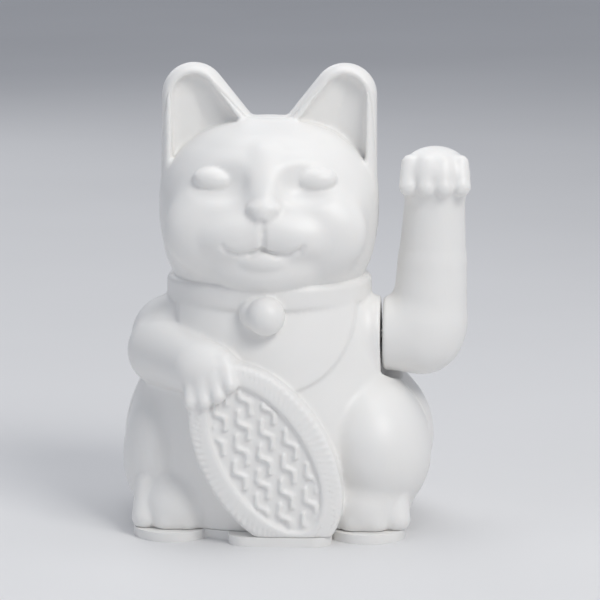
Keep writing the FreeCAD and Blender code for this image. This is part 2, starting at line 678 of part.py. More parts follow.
def cap_screw(x, y, seat_z, tip_z, shank_radius, head_radius, head_height):
    """A cross-head screw whose head rests on seat_z; the tip is above or below it."""
    up = 1 if tip_z < seat_z else -1
    head_end = seat_z + up * head_height
    shank = rod_z(x, y, min(seat_z, tip_z), max(seat_z, tip_z), shank_radius)
    cap = rod_z(x, y, min(seat_z, head_end), max(seat_z, head_end), head_radius)
    floor = head_end - up * head_height * 0.5
    low, high = min(floor, head_end + up), max(floor, head_end + up)
    arm = head_radius * 0.6
    cross = [
        box(x - arm, x + arm, y - 0.25, y + 0.25, low, high),
        box(x - 0.25, x + 0.25, y - arm, y + arm, low, high),
    ]
    return shank.fuse(cap).cut(join(cross))


def board_screws():
    return [
        cap_screw(
            x, y, BOARD_TOP_Z, BASE_BOSS_TOP + 0.5, BOARD_SCREW_RADIUS, BOARD_SCREW_HEAD_RADIUS, BOARD_SCREW_HEAD
        )
        for x, y in BOARD_SCREWS
    ]


def frame_screws():
    return [
        cap_screw(x, y, FRAME_PLATE_TOP, 1.5, SCREW_RADIUS, SCREW_HEAD_RADIUS, SCREW_HEAD_HEIGHT)
        for x, y in FRAME_SCREWS
    ]


def capacitor():
    x, y = PENDULUM_X - 5.0, AXIS_Y - COIL_RADIUS - CAPACITOR_RADIUS - 0.8
    can = rod_z(x, y, BOARD_TOP_Z, BOARD_TOP_Z + CAPACITOR_HEIGHT, CAPACITOR_RADIUS)
    groove = Part.makeTorus(CAPACITOR_RADIUS + 0.1, 0.35, V(x, y, BOARD_TOP_Z + 1.2))
    return can.cut(groove)


def drive_transistor():
    """A moulded half-round case on three legs."""
    x, y = PENDULUM_X + 5.2, AXIS_Y - COIL_RADIUS - TRANSISTOR_RADIUS - 1.2
    low = BOARD_TOP_Z + LEG_HEIGHT
    case = rod_z(x, y, low, low + 4.0, TRANSISTOR_RADIUS)
    case = case.cut(box(x - 4, x + 4, y - 4, y - 1.1, low - 1, low + 6))
    legs = [rod_z(x + i * 1.2, y, BOARD_TOP_Z, low + 0.5, LEG_RADIUS) for i in (-1, 0, 1)]
    return join([case] + legs)


def resistors():
    """Two resistors lying side by side on bent legs."""
    found = []
    middle_y = AXIS_Y - COIL_RADIUS - 1.0 - RESISTOR_LENGTH / 2
    z = BOARD_TOP_Z + RESISTOR_RADIUS + 0.2
    for x in (PENDULUM_X - 1.1, PENDULUM_X + 1.3):
        y0, y1 = middle_y - RESISTOR_LENGTH / 2, middle_y + RESISTOR_LENGTH / 2
        case = Part.makeCylinder(RESISTOR_RADIUS, RESISTOR_LENGTH - 1.2, V(x, y0 + 0.6, z), V(0, 1, 0))
        wire = Part.makeCylinder(LEG_RADIUS, RESISTOR_LENGTH, V(x, y0, z), V(0, 1, 0))
        legs = [rod_z(x, y, BOARD_TOP_Z, z, LEG_RADIUS) for y in (y0, y1)]
        knees = [Part.makeSphere(LEG_RADIUS, V(x, y, z)) for y in (y0, y1)]
        found.append(join([case, wire] + legs + knees))
    return found


# ---- Battery ----
def battery_cell():
    body_start = CELL_END_X + CELL_NUB
    nub = rod_x(CELL_END_X, body_start, CELL_NUB_RADIUS, CELL_Y, CELL_Z)
    body = rod_x(body_start, CELL_END_X + CELL_LENGTH, CELL_RADIUS, CELL_Y, CELL_Z)
    rims = [edge for edge in body.Edges if isinstance(edge.Curve, Part.Circle)]
    return body.makeFillet(0.6, rims).fuse(nub)


def contact_plate(x0):
    """A flat contact with a solder tab that rises through the tray's roof."""
    x1 = x0 + CONTACT_THICKNESS
    plate = box(x0, x1, CELL_Y - CONTACT_HALF_WIDTH, CELL_Y + CONTACT_HALF_WIDTH, BODY_FLOOR + 1, TRAY_ROOF_Z)
    tab = box(x0, x1, CELL_Y - TAB_HALF_WIDTH, CELL_Y + TAB_HALF_WIDTH, TRAY_ROOF_Z - 1, TRAY_TOP_Z + TAB_RISE)
    return plate.fuse(tab)


def positive_contact():
    return contact_plate(-TRAY_HALF_LENGTH)


def battery_spring():
    """A flat coil spring between its contact plate and the cell."""
    plate_x = TRAY_HALF_LENGTH - CONTACT_THICKNESS
    height = SPRING_LENGTH - 2 * SPRING_WIRE_RADIUS + SPRING_WELD
    path = Part.makeHelix(height / SPRING_TURNS, height, SPRING_RADIUS)
    section = Part.Wire(Part.makeCircle(SPRING_WIRE_RADIUS, V(SPRING_RADIUS, 0, 0), V(0, 1, 0)))
    coil = Part.Wire(path.Edges).makePipeShell([section], True, True)
    coil.rotate(V(0, 0, 0), V(0, 1, 0), 90)
    coil.translate(V(plate_x - SPRING_LENGTH + SPRING_WIRE_RADIUS, CELL_Y, CELL_Z))
    return coil.fuse(contact_plate(plate_x))


# ---- Base ----
def base_outline(grow, z0, z1):
    """The body's footprint, as upright ovals, a little larger than the body."""
    ratio = TRUNK_HALF_DEPTH / TRUNK_HALF_WIDTH
    half_x = trunk_radius(BODY_FLOOR)
    ovals = [oval_plate(half_x + grow, half_x * ratio + grow, 0, TRUNK_Y, z0, z1)]
    for side, middle_x, radii in HAUNCHES:
        shrink = math.sqrt(max(1 - ((HAUNCH_Z - BODY_FLOOR) / radii[2]) ** 2, 0))
        if shrink > 0:
            across = radii[0] * shrink + grow
            fore_and_aft = radii[1] * shrink + grow
            ovals.append(oval_plate(across, fore_and_aft, middle_x, HAUNCH_Y, z0, z1))
        squeeze = math.sqrt(1 - ((FOOT_Z - BODY_FLOOR) / FOOT_RADII[2]) ** 2)
        half_foot = FOOT_RADII[0] * squeeze + grow
        ovals.append(oval_plate(half_foot, FOOT_RADII[1] * squeeze + grow, FOOT_X[side], FOOT_Y, z0, z1))
    toe = box(COIN_TOE_X0, COIN_TOE_X1, COIN_FACE_Y - grow + 0.5, TRUNK_Y, z0, z1)
    corners = [e for e in toe.Edges if abs(e.tangentAt(e.FirstParameter).z) > 0.99]
    front_corners = [e for e in corners if e.CenterOfMass.y < COIN_FACE_Y + 5]
    ovals.append(toe.makeFillet(COIN_TOE_RADIUS, front_corners))
    return join(ovals)


def door_blank(side_gap, inner_gap, low, high, tongue_low, tongue_high):
    """The sliding door's outline with its two side tongues; gaps widen it into its pocket."""
    front_y = CELL_Y - TRAY_HALF_WIDTH - 1.0 - inner_gap
    half = DOOR_HALF_WIDTH + side_gap
    panel = box(-half, half, front_y, FAR, low, high)
    tongue = box(-half - DOOR_TONGUE, half + DOOR_TONGUE, front_y, FAR, tongue_low, tongue_high)
    return panel.fuse(tongue)


def base_plate():
    """Floor of the cat with the battery tray, screw bosses and locating tabs."""
    plate = base_outline(BASE_LIP, -1, BASE_THICKNESS)
    tray_x = TRAY_HALF_LENGTH + TRAY_WALL
    tray_y = TRAY_HALF_WIDTH + TRAY_WALL
    tray = box(-tray_x, tray_x, CELL_Y - tray_y, CELL_Y + tray_y, BASE_THICKNESS - 0.5, TRAY_TOP_Z)
    bosses = [rod_z(x, y, BASE_THICKNESS - 0.5, BASE_BOSS_TOP, 3.0) for x, y in FRAME_SCREWS]
    tab_x = trunk_radius(BODY_FLOOR) - BODY_WALL - 2.6
    tab_root = BASE_THICKNESS - 0.5
    tabs = [
        box(side * tab_x - 0.8, side * tab_x + 0.8, TRUNK_Y - 8, TRUNK_Y + 4, tab_root, BASE_THICKNESS + 4)
        for side in (-1, 1)
    ]
    plate = join([plate, tray] + bosses + tabs)
    plate = plate.cut(box(-FAR, FAR, -FAR, FAR, -2, 0))
    pocket = door_blank(DOOR_GAP, DOOR_GAP, -1, DOOR_TOP + DOOR_GAP, DOOR_BOTTOM + 0.5, DOOR_TOP + DOOR_GAP)
    room = box(
        -TRAY_HALF_LENGTH,
        TRAY_HALF_LENGTH,
        CELL_Y - TRAY_HALF_WIDTH,
        CELL_Y + TRAY_HALF_WIDTH,
        0,
        TRAY_ROOF_Z,
    )
    cuts = [pocket, room]
    for x0 in (-TRAY_HALF_LENGTH, TRAY_HALF_LENGTH - CONTACT_THICKNESS):
        slot_y = TAB_HALF_WIDTH + 0.2
        cuts.append(box(x0 - 0.1, x0 + CONTACT_THICKNESS + 0.1, CELL_Y - slot_y, CELL_Y + slot_y, TRAY_ROOF_Z - 1, FAR))
    for x, y in POSTS:
        cuts.append(rod_z(x, y, -1, BASE_THICKNESS + 1, SCREW_RADIUS))
        cuts.append(rod_z(x, y, -1, SCREW_HEAD_HEIGHT + 0.3, SCREW_HEAD_RADIUS + 0.2))
    for x, y in FRAME_SCREWS:
        cuts.append(rod_z(x, y, 1.0, BASE_BOSS_TOP + 1, SCREW_RADIUS))
    return plate.cut(join(cuts))


def base_screws():
    seat = SCREW_HEAD_HEIGHT + 0.3
    return [
        cap_screw(x, y, seat, POST_TOP - 1.5, SCREW_RADIUS, SCREW_HEAD_RADIUS, SCREW_HEAD_HEIGHT - 0.1)
        for x, y in POSTS
    ]


def battery_door():
    """Slides out to the rear; its outer edge follows the base."""
    blank = door_blank(0, 0, DOOR_BOTTOM, DOOR_TOP, DOOR_BOTTOM + 0.5 + DOOR_GAP, DOOR_TOP)
    door = blank.common(base_outline(BASE_LIP - 0.2, -1, BASE_THICKNESS))
    grip_y = TRUNK_Y + TRUNK_HALF_DEPTH - 7.0
    ridges = [box(-8, 8, grip_y + i * 1.6, grip_y + i * 1.6 + 0.8, -1, DOOR_BOTTOM + 0.4) for i in (-1, 0, 1)]
    return door.cut(join(ridges))


# ---- Leads ----
def lead(name, points):
    """Round wire along straight runs joined by the largest tangent arcs that fit."""
    edges = []
    here = points[0]
    for before, corner, after in zip(points, points[1:], points[2:]):
        back, ahead = (before - corner).normalize(), (after - corner).normalize()
        half_turn = (math.pi - back.getAngle(ahead)) / 2
        reach = 0.45 * min(before.distanceToPoint(corner), after.distanceToPoint(corner))
        radius = reach / math.tan(half_turn)
        start, end = corner + back * reach, corner + ahead * reach
        bisector = (back + ahead).normalize()
        middle = corner + bisector * (radius / math.cos(half_turn) - radius)
        edges.append(Part.LineSegment(here, start).toShape())
        edges.append(Part.Arc(start, middle, end).toShape())
        here = end
        print(f"{name} bend radius {radius:.1f} mm")
    edges.append(Part.LineSegment(here, points[-1]).toShape())
    path = Part.Wire(edges)
    section = Part.Wire(Part.makeCircle(LEAD_RADIUS, points[0], points[1] - points[0]))
    solid = path.makePipeShell([section], True, False)
    expected = math.pi * LEAD_RADIUS ** 2 * path.Length
    print(f"{name} length {path.Length:.1f} mm, volume {solid.Volume / expected:.4f} of section times length")
    return solid


def lead_red():
    x = -TRAY_HALF_LENGTH + CONTACT_THICKNESS
    z = TRAY_TOP_Z + TAB_RISE - 1.0
    return lead("lead_red", [
        V(x, CELL_Y, z),
        V(x + 6, CELL_Y - 1, z),
        V(x + 10, CELL_Y - 9, z - 0.5),
        V(x + 12, CELL_Y - 20, z - 2),
        V(-8.0, -13.0, 17.5),
        V(-1.0, -20.5, 17.0),
        V(4.5, -23.0, 16.8),
        V(8.8, -23.4, 15.6),
        V(9.6, -23.6, BOARD_TOP_Z),
    ])


def lead_black():
    x = TRAY_HALF_LENGTH
    z = TRAY_TOP_Z + TAB_RISE - 1.0
    return lead("lead_black", [
        V(x, CELL_Y, z),
        V(x + 4, CELL_Y - 1.5, z),
        V(x + 5.5, CELL_Y - 8, z),
        V(x + 5.6, CELL_Y - 17, z - 0.7),
        V(32.0, -9.5, 18.5),
        V(29.5, -18.0, 17.5),
        V(25.5, -22.0, 17.0),
        V(22.6, -23.2, 15.6),
        V(22.2, -23.6, BOARD_TOP_Z),
    ])


def main():
    os.makedirs("parts", exist_ok=True)
    export("front_shell", [body_half(True)])
    export("rear_shell", [body_half(False)])
    arm_front, arm_rear = arm_shells()
    export("arm_front_shell", [arm_front])
    export("arm_rear_shell", [arm_rear])
    export("arm_hub", [arm_hub()])
    export("swing_axle", [swing_axle()])
    export("bearing_bushes", bearing_bushes())
    export("retaining_clips", retaining_clips())
    export("stop_pins", stop_pins())
    export("mechanism_frame", [mechanism_frame()])
    export("frame_screws", frame_screws())
    export("pendulum_lever", [pendulum_lever()])
    export("pendulum_magnet", [pendulum_magnet()])
    export("counterweight", [counterweight()])
    export("coil_bobbin", [coil_bobbin()])
    export("coil_winding", [coil_winding()])
    export("circuit_board", [circuit_board()])
    export("board_screws", board_screws())
    export("capacitor", [capacitor()])
    export("drive_transistor", [drive_transistor()])
    export("resistors", resistors())
    export("battery_cell", [battery_cell()])
    export("positive_contact", [positive_contact()])
    export("battery_spring", [battery_spring()])
    export("base_plate", [base_plate()])
    export("base_screws", base_screws())
    export("battery_door", [battery_door()])
    export("lead_red", [lead_red()])
    export("lead_black", [lead_black()])


main()
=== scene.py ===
"""Beckoning cat figurine: sculpted shells, arm and materials over the CAD frame. Metres."""
import json
import math

import bpy
import numpy as np
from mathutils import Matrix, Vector


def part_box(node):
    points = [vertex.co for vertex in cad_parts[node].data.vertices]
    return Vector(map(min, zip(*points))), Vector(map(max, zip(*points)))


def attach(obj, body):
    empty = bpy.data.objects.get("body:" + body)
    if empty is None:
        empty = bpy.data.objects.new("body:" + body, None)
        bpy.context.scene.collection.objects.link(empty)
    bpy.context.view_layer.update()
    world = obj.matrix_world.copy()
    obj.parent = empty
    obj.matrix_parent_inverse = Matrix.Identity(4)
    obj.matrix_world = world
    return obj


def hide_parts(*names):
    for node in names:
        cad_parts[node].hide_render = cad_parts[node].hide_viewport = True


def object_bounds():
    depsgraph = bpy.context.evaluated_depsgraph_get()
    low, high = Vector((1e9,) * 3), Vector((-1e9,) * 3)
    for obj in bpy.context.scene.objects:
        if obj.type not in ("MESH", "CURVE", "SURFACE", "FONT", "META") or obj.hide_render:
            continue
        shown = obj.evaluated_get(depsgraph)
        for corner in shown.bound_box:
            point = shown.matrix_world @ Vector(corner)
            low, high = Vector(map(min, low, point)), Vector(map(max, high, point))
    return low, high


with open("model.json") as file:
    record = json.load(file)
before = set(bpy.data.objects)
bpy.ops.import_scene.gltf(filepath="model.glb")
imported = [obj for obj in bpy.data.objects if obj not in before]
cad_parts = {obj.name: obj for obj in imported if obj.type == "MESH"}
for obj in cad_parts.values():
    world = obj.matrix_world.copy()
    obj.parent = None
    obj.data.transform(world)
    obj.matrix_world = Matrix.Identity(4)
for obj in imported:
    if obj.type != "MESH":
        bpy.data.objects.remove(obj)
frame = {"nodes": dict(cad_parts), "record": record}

CAD_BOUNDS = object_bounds()
MM = 0.001
BODY_CELL = 0.7         # mm, size of the sculpting grid
ARM_CELL = 0.5
BODY_WALL = 2.0
ARM_WALL = 1.6
SHOULDER_GAP = 0.6      # between the body's side and the arm
SHOULDER_RELIEF = 14.4  # radius kept clear round the turning arm
AXLE_HOLE_RADIUS = 4.0
AXLE_HOLE_START_X = 20.0
POST_RADIUS = 3.0
POST_TOP_Z = 10.0
SCREW_HOLE_RADIUS = 1.2
SCREW_HOLE_TOP_Z = 9.0
SCREW_POSTS = [(-28.5, -24.5), (28.5, -24.5), (-34.0, 14.0), (34.0, 14.0)]
SEAM_GAP = 0.05         # each shell's distance from the seam plane
ARM_SEAM_GAP = 0.04
TINY = 1e-6             # keeps divisions clear of zero


# ---- Where things are, in millimetres, from the frame ----
def node_box(name):
    low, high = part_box(name)
    return np.array(low) / MM, np.array(high) / MM


def joint(name):
    return next(j for j in frame["record"]["behaviour"]["joints"] if j["name"] == name)


AXIS_Y = joint("arm_swing")["pos_m"][1] / MM
AXIS_Z = joint("arm_swing")["pos_m"][2] / MM
FRONT_LOW, FRONT_HIGH = node_box("front_shell")
HUB_LOW, HUB_HIGH = node_box("arm_hub")
FLOOR_Z = FRONT_LOW[2]
SEAM_Y = FRONT_HIGH[1]
EAR_TIP_Z = FRONT_HIGH[2]
ARM_FACE_X = node_box("arm_front_shell")[0][0]
SHOULDER_FACE_X = ARM_FACE_X - SHOULDER_GAP


# ---- Distance fields on a grid, millimetres ----
class Field:
    """A block of space sampled on a regular grid. Each call works only where a form can reach."""

    def __init__(self, low, high, cell):
        self.cell = cell
        self.low = low
        self.axes = [np.arange(a, b + cell, cell, dtype=np.float32) for a, b in zip(low, high)]
        self.value = np.full([len(a) for a in self.axes], 1e3, dtype=np.float32)

    def window(self, low, high, margin):
        cuts, parts = [], []
        for axis, a, b in zip(self.axes, low, high):
            i = max(int(np.searchsorted(axis, a - margin)), 0)
            j = min(int(np.searchsorted(axis, b + margin)), len(axis))
            cuts.append(slice(i, j))
            parts.append(axis[i:j])
        return tuple(cuts), np.meshgrid(*parts, indexing="ij", sparse=True)

    def add(self, form, blend=1.0):
        low, high, distance = form
        cuts, (x, y, z) = self.window(low, high, 4 * blend + 3)
        self.value[cuts] = smooth_min(self.value[cuts], distance(x, y, z), blend)

    def carve(self, form, blend=1.0):
        low, high, distance = form
        cuts, (x, y, z) = self.window(low, high, 4 * blend + 3)
        self.value[cuts] = -smooth_min(-self.value[cuts], distance(x, y, z), blend)

    def grid(self):
        return np.meshgrid(*self.axes, indexing="ij", sparse=True)


def smooth_min(a, b, blend):
    share = np.clip(blend - np.abs(a - b), 0, None) / blend
    return np.minimum(a, b) - share * share * blend / 4


def smooth_max(a, b, blend):
    return -smooth_min(-a, -b, blend)


def root_of_squares(a, b, c):
    return np.sqrt(a ** 2 + b ** 2 + c ** 2)


def ball(centre, radii, turn=0.0):
    """An ellipsoid, turned about Y by an angle in degrees, as seen from the front."""
    centre, radii = np.array(centre, float), np.array(radii, float)
    c, s = math.cos(math.radians(turn)), math.sin(math.radians(turn))
    reach = max(radii)

    def distance(x, y, z):
        dx, dy, dz = x - centre[0], y - centre[1], z - centre[2]
        u, w = c * dx - s * dz, s * dx + c * dz
        near = root_of_squares(u / radii[0], dy / radii[1], w / radii[2]) + TINY
        slope = root_of_squares(u / radii[0] ** 2, dy / radii[1] ** 2, w / radii[2] ** 2) + TINY
        return near * (near - 1) / slope

    return centre - reach, centre + reach, distance


def bar(start, end, radius_start, radius_end=None):
    """A round bar from start to end with ball ends, tapered if two radii are given."""
    start, end = np.array(start, float), np.array(end, float)
    radius_end = radius_start if radius_end is None else radius_end
    along = end - start
    square = float(along @ along)
    reach = max(radius_start, radius_end)

    def distance(x, y, z):
        dx, dy, dz = x - start[0], y - start[1], z - start[2]
        share = np.clip((dx * along[0] + dy * along[1] + dz * along[2]) / square, 0, 1)
        gap = root_of_squares(dx - along[0] * share, dy - along[1] * share, dz - along[2] * share)
        return gap - (radius_start + (radius_end - radius_start) * share)

    return np.minimum(start, end) - reach, np.maximum(start, end) + reach, distance


def chain(points, radius):
    """Bars joined end to end, for grooves and folds."""
    return [bar(a, b, radius) for a, b in zip(points, points[1:])]


def drum_x(x0, x1, y, z, radius):
    """A round drum along X."""
    low = np.array([x0, y - radius, z - radius])
    high = np.array([x1, y + radius, z + radius])

    def distance(x, y_, z_):
        around = np.sqrt((y_ - y) ** 2 + (z_ - z) ** 2) - radius
        return np.maximum(around, np.maximum(x0 - x, x - x1))

    return low, high, distance


def oval_stack(levels, power=2.0):
    """A body of oval sections. levels: (height, half width, half depth, middle y)."""
    heights, widths, depths, middles = [np.array(c, float) for c in zip(*levels)]
    low = np.array([-max(widths), min(middles - depths), heights[0]])
    high = np.array([max(widths), max(middles + depths), heights[-1]])

    def distance(x, y, z):
        flat = z[0, 0]
        a = smooth_curve(heights, widths, flat)[None, None]
        b = smooth_curve(heights, depths, flat)[None, None]
        m = smooth_curve(heights, middles, flat)[None, None]
        u, v = np.abs(x) / a, np.abs(y - m) / b
        near = (u ** power + v ** power) ** (1 / power) + TINY
        steep = np.sqrt((u ** (power - 1) / a) ** 2 + (v ** (power - 1) / b) ** 2)
        slope = steep / near ** (power - 1) + TINY
        lean = np.gradient(a[0, 0], flat)[None, None]
        side = (near - 1) / slope / np.sqrt(1 + lean ** 2)
        return np.maximum(side, np.maximum(heights[0] - z, z - heights[-1]))

    return low, high, distance


def smooth_curve(knots, values, at):
    """A cubic through the values with slopes from their neighbours."""
    slopes = np.gradient(values, knots)
    at = np.clip(at, knots[0], knots[-1])
    i = np.clip(np.searchsorted(knots, at) - 1, 0, len(knots) - 2)
    span = knots[i + 1] - knots[i]
    t = (at - knots[i]) / span
    h00, h10 = 2 * t ** 3 - 3 * t ** 2 + 1, t ** 3 - 2 * t ** 2 + t
    h01, h11 = 3 * t ** 2 - 2 * t ** 3, t ** 3 - t ** 2
    found = h00 * values[i] + h10 * span * slopes[i] + h01 * values[i + 1] + h11 * span * slopes[i + 1]
    return found.astype(np.float32)


# ---- Meshing: one vertex in each cell that the surface crosses ----
def mesh_from_field(value, axes, cell):
    inside = value < 0
    corners = [(i, j, k) for i in (0, 1) for j in (0, 1) for k in (0, 1)]
    shape = [n - 1 for n in value.shape]

    def at(array, i, j, k):
        return array[i:i + shape[0], j:j + shape[1], k:k + shape[2]]

    count = sum(at(inside, *c).astype(np.uint8) for c in corners)
    cells = np.argwhere((count > 0) & (count < 8))
    number = np.full(shape, -1, dtype=np.int64)
    number[tuple(cells.T)] = np.arange(len(cells))
    total = np.zeros((len(cells), 3))
    hits = np.zeros(len(cells))
    for first in corners:
        for axis in range(3):
            if first[axis]:
                continue
            second = list(first)
            second[axis] = 1
            a = value[tuple((cells + first).T)].astype(float)
            b = value[tuple((cells + second).T)].astype(float)
            crossed = (a < 0) != (b < 0)
            share = np.where(crossed, a / np.where(crossed, a - b, 1), 0)
            point = np.array(first, float) + share[:, None] * (np.array(second) - np.array(first))
            total += point * crossed[:, None]
            hits += crossed
    origin = np.array([axis[0] for axis in axes])
    points = origin + cell * (cells + total / hits[:, None])
    quads = []
    for axis in range(3):
        ahead = [0, 0, 0]
        ahead[axis] = 1
        n = value.shape
        a = inside[:n[0] - ahead[0], :n[1] - ahead[1], :n[2] - ahead[2]]
        b = inside[ahead[0]:, ahead[1]:, ahead[2]:]
        edges = np.argwhere(a != b)
        u, v = [other for other in range(3) if other != axis]
        keep = (edges[:, u] > 0) & (edges[:, v] > 0)
        keep = keep & (edges[:, u] < n[u] - 1) & (edges[:, v] < n[v] - 1)
        edges = edges[keep]
        outward = inside[tuple(edges.T)]
        if axis == 1:
            outward = ~outward
        ring = []
        for du, dv in ((1, 1), (0, 1), (0, 0), (1, 0)):
            corner = edges.copy()
            corner[:, u] -= du
            corner[:, v] -= dv
            ring.append(number[tuple(corner.T)])
        ring = np.stack(ring, axis=1)
        ring[~outward] = ring[~outward][:, ::-1]
        quads.append(ring)
    return points, np.concatenate(quads)


def piece_from_field(name, value, field, material):
    points, quads = mesh_from_field(value, field.axes, field.cell)
    mesh = bpy.data.meshes.new(name)
    mesh.vertices.add(len(points))
    mesh.vertices.foreach_set("co", (points * MM).astype(np.float32).ravel())
    mesh.loops.add(quads.size)
    mesh.loops.foreach_set("vertex_index", quads.ravel().astype(np.int32))
    mesh.polygons.add(len(quads))
    mesh.polygons.foreach_set("loop_start", (np.arange(len(quads)) * 4).astype(np.int32))
    mesh.update(calc_edges=True)
    mesh.validate()
    mesh.polygons.foreach_set("use_smooth", np.ones(len(mesh.polygons), dtype=bool))
    mesh.materials.append(material)
    piece = bpy.data.objects.new(name, mesh)
    bpy.context.scene.collection.objects.link(piece)
    return piece


# ---- Body ----
def trunk_levels():
    """Belly to neck: (height, half width, half depth, middle y)."""
    half_width, half_depth, middle = 44.0, 39.5, 1.0
    shares = [
        (0, 0.93),
        (3, 0.94),
        (12, 0.985),
        (26, 1.0),
        (42, 0.955),
        (52, 0.90),
        (62, 0.845),
        (72, 0.77),
        (84, 0.66),
    ]
    return [(z, half_width * s, half_depth * s, middle) for z, s in shares]


def head_levels():
    """Jaw to crown: (height, half width, half depth, middle y)."""
    middle = -1.5
    rows = [
        (79.5, 28.0, 25.4),
        (81.0, 30.0, 27.2),
        (85.0, 32.4, 29.4),
        (92.0, 34.4, 31.2),
        (102.0, 35.4, 32.0),
        (111.0, 34.8, 31.2),
        (118.0, 31.6, 28.6),
        (124.0, 26.2, 24.0),
        (129.0, 18.2, 17.0),
        (132.4, 7.0, 6.5),
    ]
    return [(z, a, b, middle) for z, a, b in rows]


def triangle_gap(px, pz, corners):
    """Signed distance to a triangle whose corners are given anticlockwise."""
    nearest, outside = None, None
    for (x0, z0), (x1, z1) in zip(corners, corners[1:] + corners[:1]):
        ex, ez = x1 - x0, z1 - z0
        length = math.hypot(ex, ez)
        wx, wz = px - x0, pz - z0
        t = np.clip((wx * ex + wz * ez) / length ** 2, 0, 1)
        gap = (wx - ex * t) ** 2 + (wz - ez * t) ** 2
        side = (wx * ez - wz * ex) / length
        nearest = gap if nearest is None else np.minimum(nearest, gap)
        outside = side if outside is None else np.maximum(outside, side)
    return np.where(outside < 0, -1.0, 1.0) * np.sqrt(nearest)


EAR_CORNERS = [(24.4, 139.4), (-1.0, 107.5), (24.6, 100.0)]
EAR_ROUNDING = 10.4
EAR_RIM = 3.6
EAR_REACH_X = 36.0
EAR_ROOT_Z = 98.0


def ear_outline(across, z, inset):
    """The ear from the front: upright outer edge, broad round tip, sloping inner edge."""
    return triangle_gap(across, z, EAR_CORNERS) - (EAR_ROUNDING - inset)


def ear_block(side, front, back):
    """The block of space that holds one ear."""
    low = np.array([min(0, side * EAR_REACH_X), front, EAR_ROOT_Z])
    high = np.array([max(0, side * EAR_REACH_X), back, EAR_TIP_Z + 2])
    return low, high


def ear(side):
    """A tall round-tipped ear, thick at its root and facing forward."""
    low, high = ear_block(side, -14, 16)

    def distance(x, y, z):
        shape = ear_outline(side * x, z, 0.0)
        rise = np.clip((z - 108.0) / 42.0, 0, 1)
        middle = -1.0 + 2.4 * rise
        thick = 9.6 - 3.8 * rise
        return smooth_max(shape, np.abs(y - middle) - thick, 7.0)

    return low, high, distance


def ear_hollow(side):
    """The scooped face of the ear, following its outline inside a thick rim."""
    low, high = ear_block(side, -30, 8)

    def distance(x, y, z):
        shape = ear_outline(side * x, z, EAR_RIM)
        inward = np.clip(-shape, 0, 9.0)
        floor = -3.4 + 2.4 * np.clip((z - 112.0) / 36.0, 0, 1)
        bowl = y - floor - 3.2 * (inward / 9.0) ** 0.7
        return smooth_max(shape, bowl, 3.0)

    return low, high, distance


def collar_band(low_z, high_z, half_x, half_y, middle_y, thickness, rounding):
    """An oval band with rounded edges."""
    low = np.array([-half_x - 2, middle_y - half_y - 2, low_z])
    high = np.array([half_x + 2, middle_y + half_y + 2, high_z])

    def distance(x, y, z):
        across = np.abs(oval_gap(x, y - middle_y, half_x, half_y) + thickness) - thickness + rounding
        upright = np.abs(z - (low_z + high_z) / 2) - (high_z - low_z) / 2 + rounding
        outside = np.sqrt(np.clip(across, 0, None) ** 2 + np.clip(upright, 0, None) ** 2)
        return outside + np.minimum(np.maximum(across, upright), 0) - rounding

    return low, high, distance


def oval_gap(u, v, half_u, half_v):
    """Distance from an oval's edge, negative inside."""
    near = np.sqrt((u / half_u) ** 2 + (v / half_v) ** 2) + TINY
    slope = np.sqrt((u / half_u ** 2) ** 2 + (v / half_v ** 2) ** 2) / near + TINY
    return (near - 1) / slope


def raise_bib(field):
    """Lifts the chest a little inside the bib's outline."""
    x, y, z = field.grid()
    half_width, drop, top_z, power = 29.5, 29.0, 76.0, 2.3
    height, step_width = 1.4, 1.1
    below = np.clip((top_z - z) / drop, 0, None)
    reach = (np.abs(x / half_width) ** power + below ** power) ** (1 / power)
    edge = np.clip((1 - reach) * 26.0 / step_width, 0, 1)
    lift = height * edge * edge * (3 - 2 * edge)
    lift = lift * (y < -8) * (z < 79)
    field.value -= lift.astype(np.float32)


FACE_Y = -33.0          # the front of the cheeks
EYE_X = 16.3
EYE_Z = 115.2
MOUTH_Z = 94.4


def skin_y(field, x, z):
    """Where the front of the form lies at x, z."""
    i = int(round((x - field.low[0]) / field.cell))
    k = int(round((z - field.low[2]) / field.cell))
    column = field.value[i, :, k]
    j = int(np.argmax(column < 0))
    step = column[j - 1] / (column[j - 1] - column[j])
    return field.low[1] + (j - 1 + step) * field.cell


def on_skin(field, places):
    """The same x, z places as points on the front of the form."""
    return [(x, skin_y(field, x, z), z) for x, z in places]


def eyes_and_bridge(field):
    """Soft sockets and cheeks, the ridge between the eyes, and the almond eyes."""
    for side in (-1, 1):
        field.carve(ball((side * 17.0, FACE_Y + 1.4, 115.4), (11.0, 4.8, 7.0), turn=-side * 4), 4.5)
        field.add(ball((side * 20.0, FACE_Y + 8.5, 98.0), (12.0, 8.2, 11.0)), 8.0)
    field.add(bar((0, FACE_Y + 10.5, 121.5), (0, FACE_Y + 0.6, 108.5), 3.8, 3.0), 4.0)
    for side in (-1, 1):
        socket = skin_y(field, side * EYE_X, EYE_Z)
        field.add(ball((side * EYE_X, socket + 1.5, EYE_Z), (6.7, 4.4, 3.9), turn=-side * 4), 0.3)


